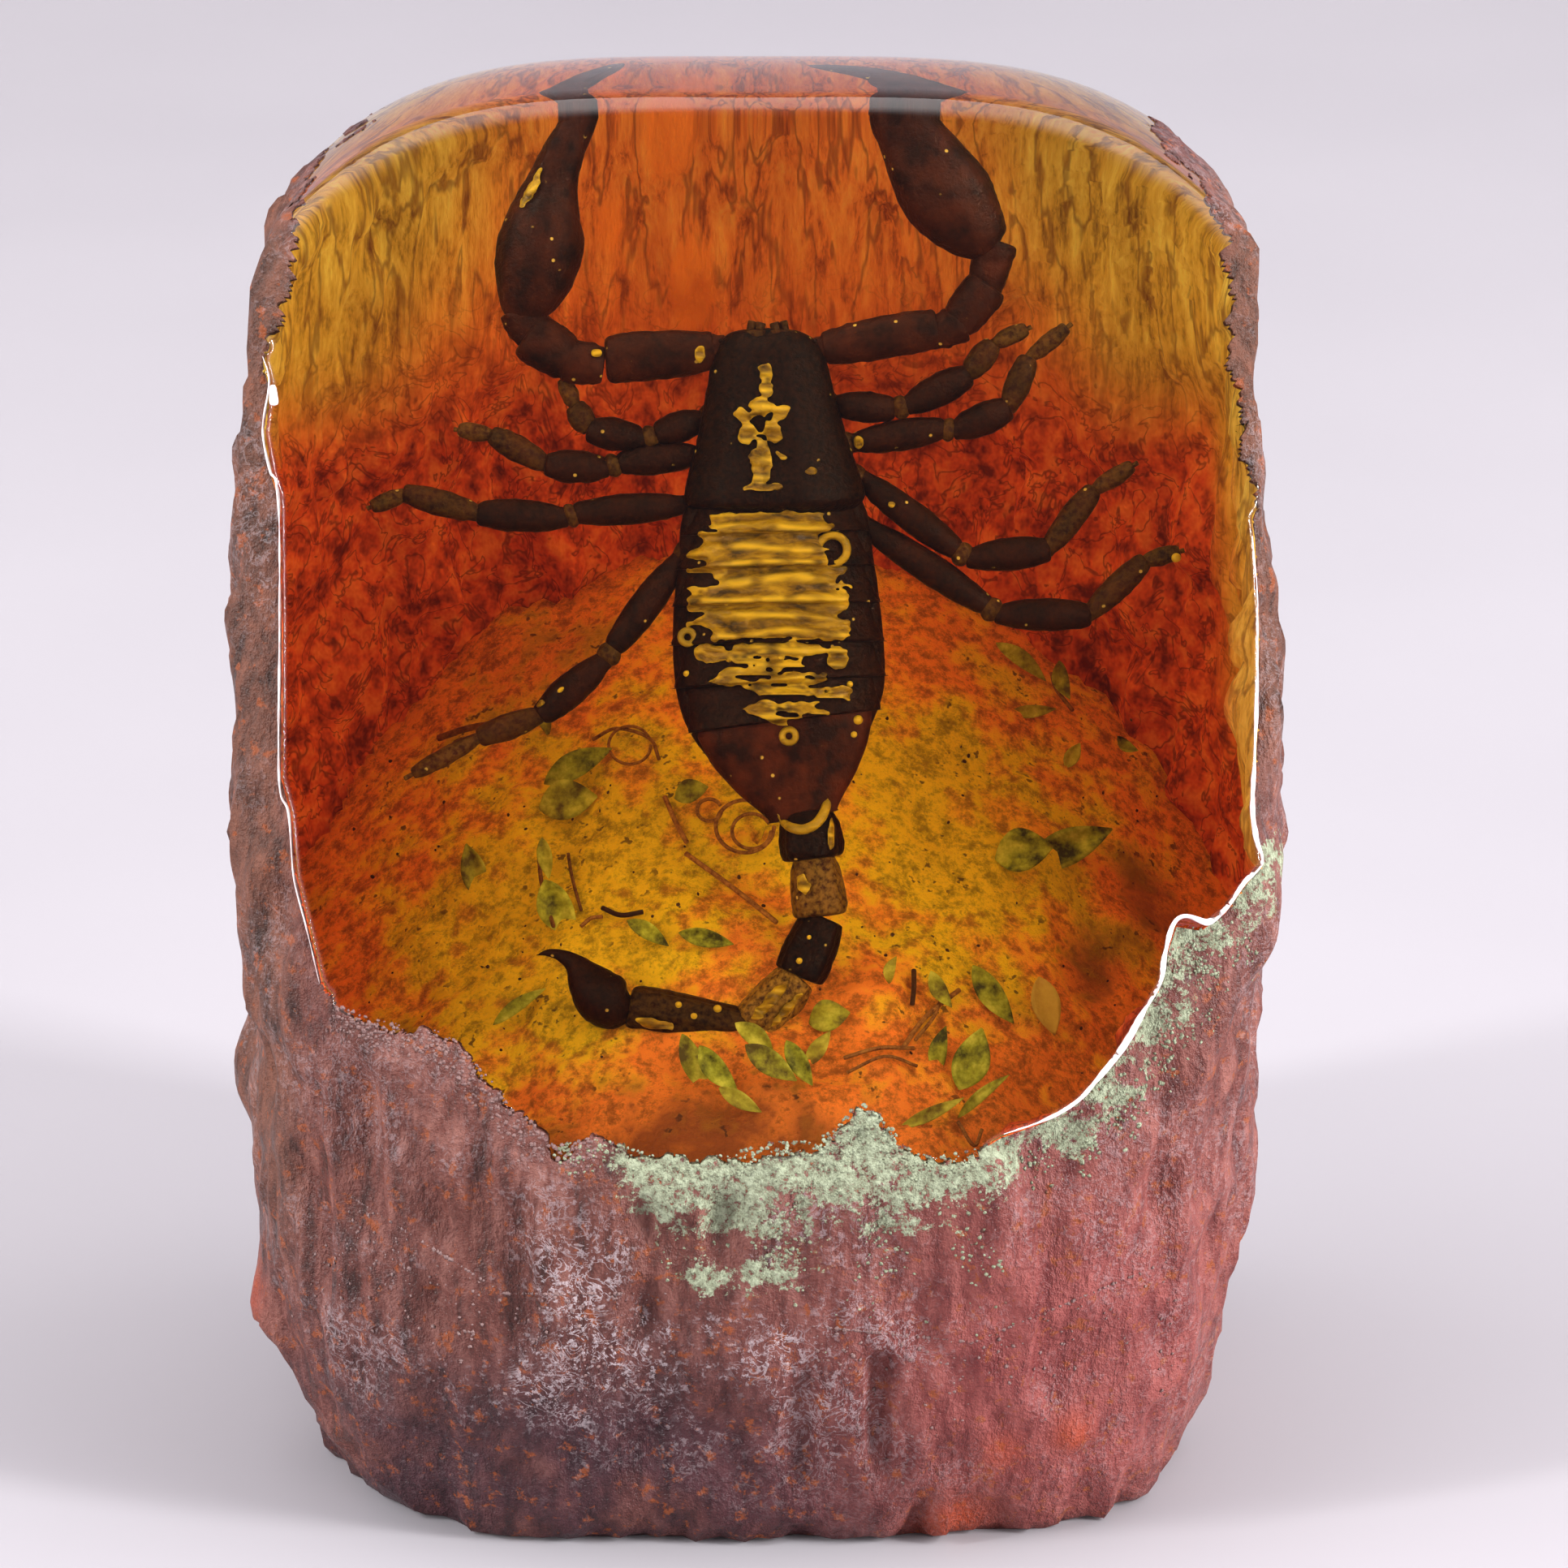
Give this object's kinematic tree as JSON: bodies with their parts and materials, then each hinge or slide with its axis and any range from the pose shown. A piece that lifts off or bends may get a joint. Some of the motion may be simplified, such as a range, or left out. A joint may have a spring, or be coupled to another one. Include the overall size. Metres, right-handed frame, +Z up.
{
  "type": "scorpion in resin block",
  "caption": "Upright bark-textured amber resin block with a slanted polished face that shows a scorpion sealed inside; rests on its flat base as a desk ornament.",
  "frame": {"origin": "middle of the flat underside, below the centre of the block's bounding box", "axes": "+Z up along the block's height, +X to the right of a viewer who faces the polished face, which looks along -Y"},
  "size_m": [0.0634, 0.0496, 0.0841],
  "materials": {
    "amber_resin": "clear amber-orange cast resin, polished smooth and glossy on the slanted face and the top",
    "weathered_rind": "rough bark-textured outer skin, dusty mauve and purple-brown with white bloom and pale green crust",
    "bark_lining": "inside of the rind seen through the resin: streaked yellow, orange and red bark texture over a mottled bed",
    "scorpion_shell": "dried brown-black chitin, finely granular, slightly glossy, paler and translucent at the joints",
    "trapped_air": "silvery-gold films and bubbles of air caught against the specimen",
    "dried_leaf": "thin olive-green to straw dried leaves, veined and curled",
    "plant_debris": "fine brown twigs, fibres and specks"
  },
  "bodies": {
    "root": {"resin_block": "amber_resin"}
  },
  "joints": []
}
